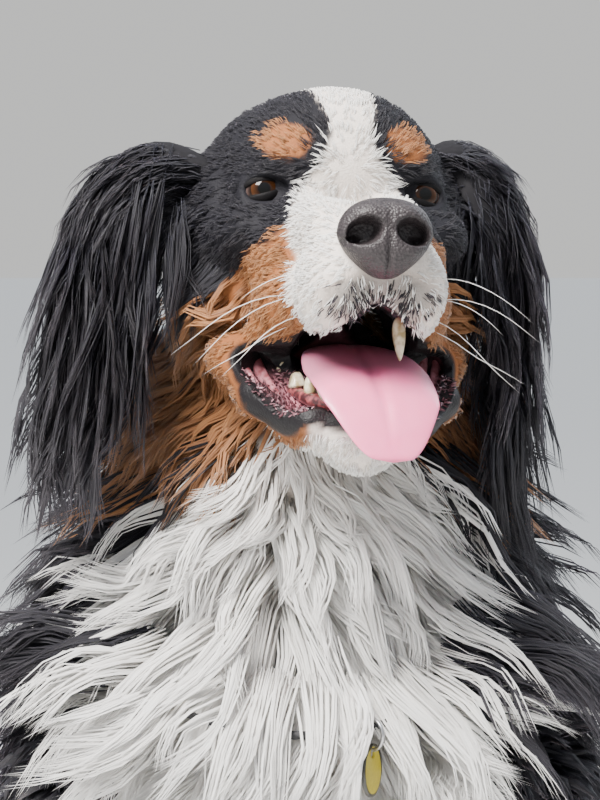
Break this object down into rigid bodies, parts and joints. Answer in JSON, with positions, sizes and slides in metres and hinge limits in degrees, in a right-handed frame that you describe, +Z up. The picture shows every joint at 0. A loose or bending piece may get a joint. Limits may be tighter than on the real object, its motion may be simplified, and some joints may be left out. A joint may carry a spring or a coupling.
{
  "type": "sitting dog figure",
  "caption": "Life-size sitting Bernese mountain dog with a long tricolour coat, open mouth, hanging tongue and an engraving-free round tag.",
  "frame": {"origin": "on the floor under the dog's seat", "axes": "+Z up, the dog faces -Y, its left side is +X"},
  "size_m": [0.4137, 1.0287, 0.8059],
  "materials": {
    "coat_black": "long soft hair, slightly glossy",
    "coat_white": "long soft hair",
    "coat_tan": "long soft hair",
    "nose_leather": "moist, pebbled",
    "eye": "wet, clear over brown",
    "tongue_pink": "moist, finely bumped",
    "collar_cord": "woven round cord",
    "steel": "bright wire",
    "tag_yellow": "yellow enamel with a dark rim"
  },
  "bodies": {
    "root": {"collar": "collar_cord", "tag_ring": "steel", "tag": "tag_yellow", "torso": "coat_black", "tongue": "tongue_pink", "nose": "nose_leather", "eye_left": "eye", "eye_right": "eye", "head": "coat_black", "lower_jaw": "coat_white", "neck": "coat_black", "ear_left": "coat_black", "ear_right": "coat_black", "front_leg_left": "coat_tan", "front_leg_right": "coat_tan", "front_paw_left": "coat_white", "front_paw_right": "coat_white", "hind_paw_left": "coat_white", "hind_paw_right": "coat_white", "hind_leg_left": "coat_black", "hind_leg_right": "coat_black", "tail": "coat_black"}
  },
  "joints": []
}
